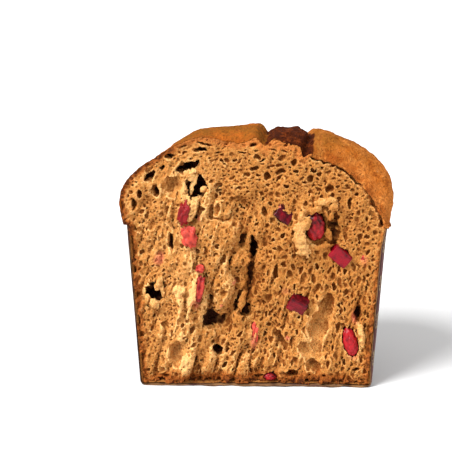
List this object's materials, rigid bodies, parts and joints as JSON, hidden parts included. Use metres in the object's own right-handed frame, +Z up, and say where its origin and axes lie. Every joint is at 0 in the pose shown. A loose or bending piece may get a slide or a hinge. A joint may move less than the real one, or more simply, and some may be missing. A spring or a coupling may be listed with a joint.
{
  "type": "panettone",
  "caption": "Half of a tall domed panettone, cut from top to base so that its torn, holed crumb and red fruit show, in a ribbed paper baking case.",
  "frame": {"origin": "middle of the round base, on the case's axis, at the underside of the paper", "axes": "+Z up, the cut face looks along -Y, the round back lies towards +Y, +X to the right of someone who looks at the cut"},
  "size_m": [0.1772, 0.1067, 0.1737],
  "materials": {
    "cake": "matte",
    "paper_case": "matte",
    "fruit": "semi-gloss"
  },
  "bodies": {
    "root": {"cake": "cake", "paper_case": "paper_case", "cube_upper": "fruit", "cube_right": "fruit", "cube_lower": "fruit", "berry_upper": "fruit", "berry_right": "fruit", "berry_base": "fruit", "chunk_left_top": "fruit", "chunk_left_bright": "fruit", "chunk_left_small": "fruit", "chunk_left_long": "fruit", "chunk_middle": "fruit", "chunk_right_small": "fruit"}
  },
  "joints": []
}
